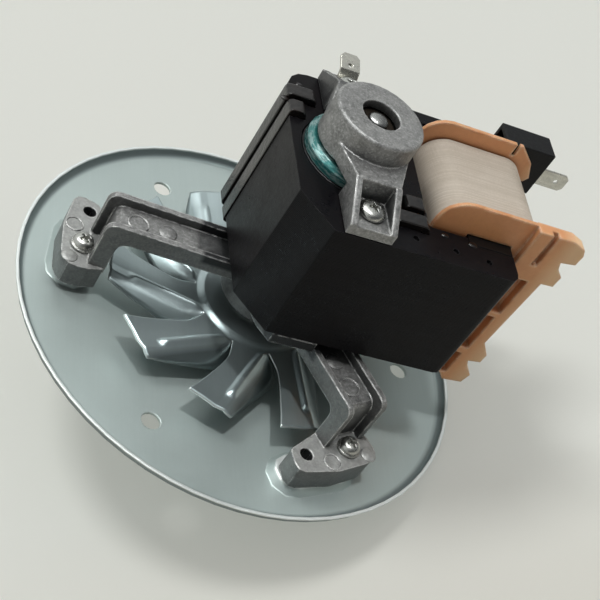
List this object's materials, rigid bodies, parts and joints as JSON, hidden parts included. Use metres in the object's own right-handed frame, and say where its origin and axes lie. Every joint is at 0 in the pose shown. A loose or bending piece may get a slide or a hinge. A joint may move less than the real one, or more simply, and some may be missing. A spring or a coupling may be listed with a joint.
{
  "type": "oven fan motor",
  "caption": "Shaded-pole fan motor on a round flange plate: lamination stack with a side coil, cast bearing brackets, cooling fan and a shaft that passes through the plate.",
  "frame": {"origin": "on the shaft axis, in the plane of the flange plate's flat underside", "axes": "+Z along the shaft, from the plate towards the motor; +X along the lamination stack towards its coil"},
  "size_m": [0.157, 0.15, 0.1194],
  "materials": {
    "zinc_plated_steel": "dull zinc plating",
    "die_cast_alloy": "as cast, grainy",
    "black_varnish": "semi-gloss varnish",
    "bare_lamination": "bare",
    "varnished_copper": "varnished black",
    "rotor_steel": "bare",
    "teal_lacquer": "translucent lacquer",
    "ground_steel": "ground",
    "pressed_aluminium": "satin sheet",
    "collar_brass": "turned",
    "sintered_bronze": "sintered",
    "oil_felt": "oiled felt",
    "spring_steel": "blued",
    "fibre_washer": "fibre",
    "zinc_screw": "bright zinc",
    "peach_moulding": "satin moulding",
    "enamelled_wire": "enamelled",
    "cream_wrap": "tape over fine windings",
    "black_moulding": "matt moulding",
    "tinned_brass": "tinned"
  },
  "bodies": {
    "stator": {"bobbin": "peach_moulding", "bracket_screw_front": "zinc_screw", "bracket_screw_rear": "zinc_screw", "coil_core": "bare_lamination", "coil_winding": "enamelled_wire", "coil_wrap": "cream_wrap", "earth_tab": "tinned_brass", "foot_screw_front": "zinc_screw", "foot_screw_left": "zinc_screw", "foot_screw_rear": "zinc_screw", "lamination_core": "black_varnish", "lower_bearing": "sintered_bronze", "lower_bracket": "die_cast_alloy", "lower_felt": "oil_felt", "lower_spring_clip": "spring_steel", "mounting_plate": "zinc_plated_steel", "shading_ring_front_inner": "varnished_copper", "shading_ring_front_outer": "varnished_copper", "shading_ring_rear_inner": "varnished_copper", "shading_ring_rear_outer": "varnished_copper", "terminal_block_lower": "black_moulding", "terminal_block_upper": "black_moulding", "terminal_tab_lower": "tinned_brass", "terminal_tab_upper": "tinned_brass", "upper_bearing": "sintered_bronze", "upper_bracket": "die_cast_alloy", "upper_felt": "oil_felt", "upper_spring_clip": "spring_steel"},
    "rotor": {"shaft": "ground_steel", "rotor_core": "rotor_steel", "rotor_cage": "teal_lacquer", "cooling_fan": "pressed_aluminium", "fan_collar": "collar_brass", "retaining_ring": "spring_steel", "upper_thrust_washer": "fibre_washer", "lower_thrust_washer": "fibre_washer"}
  },
  "joints": [
    {"name": "rotor_spin", "type": "hinge", "parent": "stator", "child": "rotor", "pos_m": [0, 0, 0.05425], "axis": [0, 0, 1], "continuous": true}
  ]
}
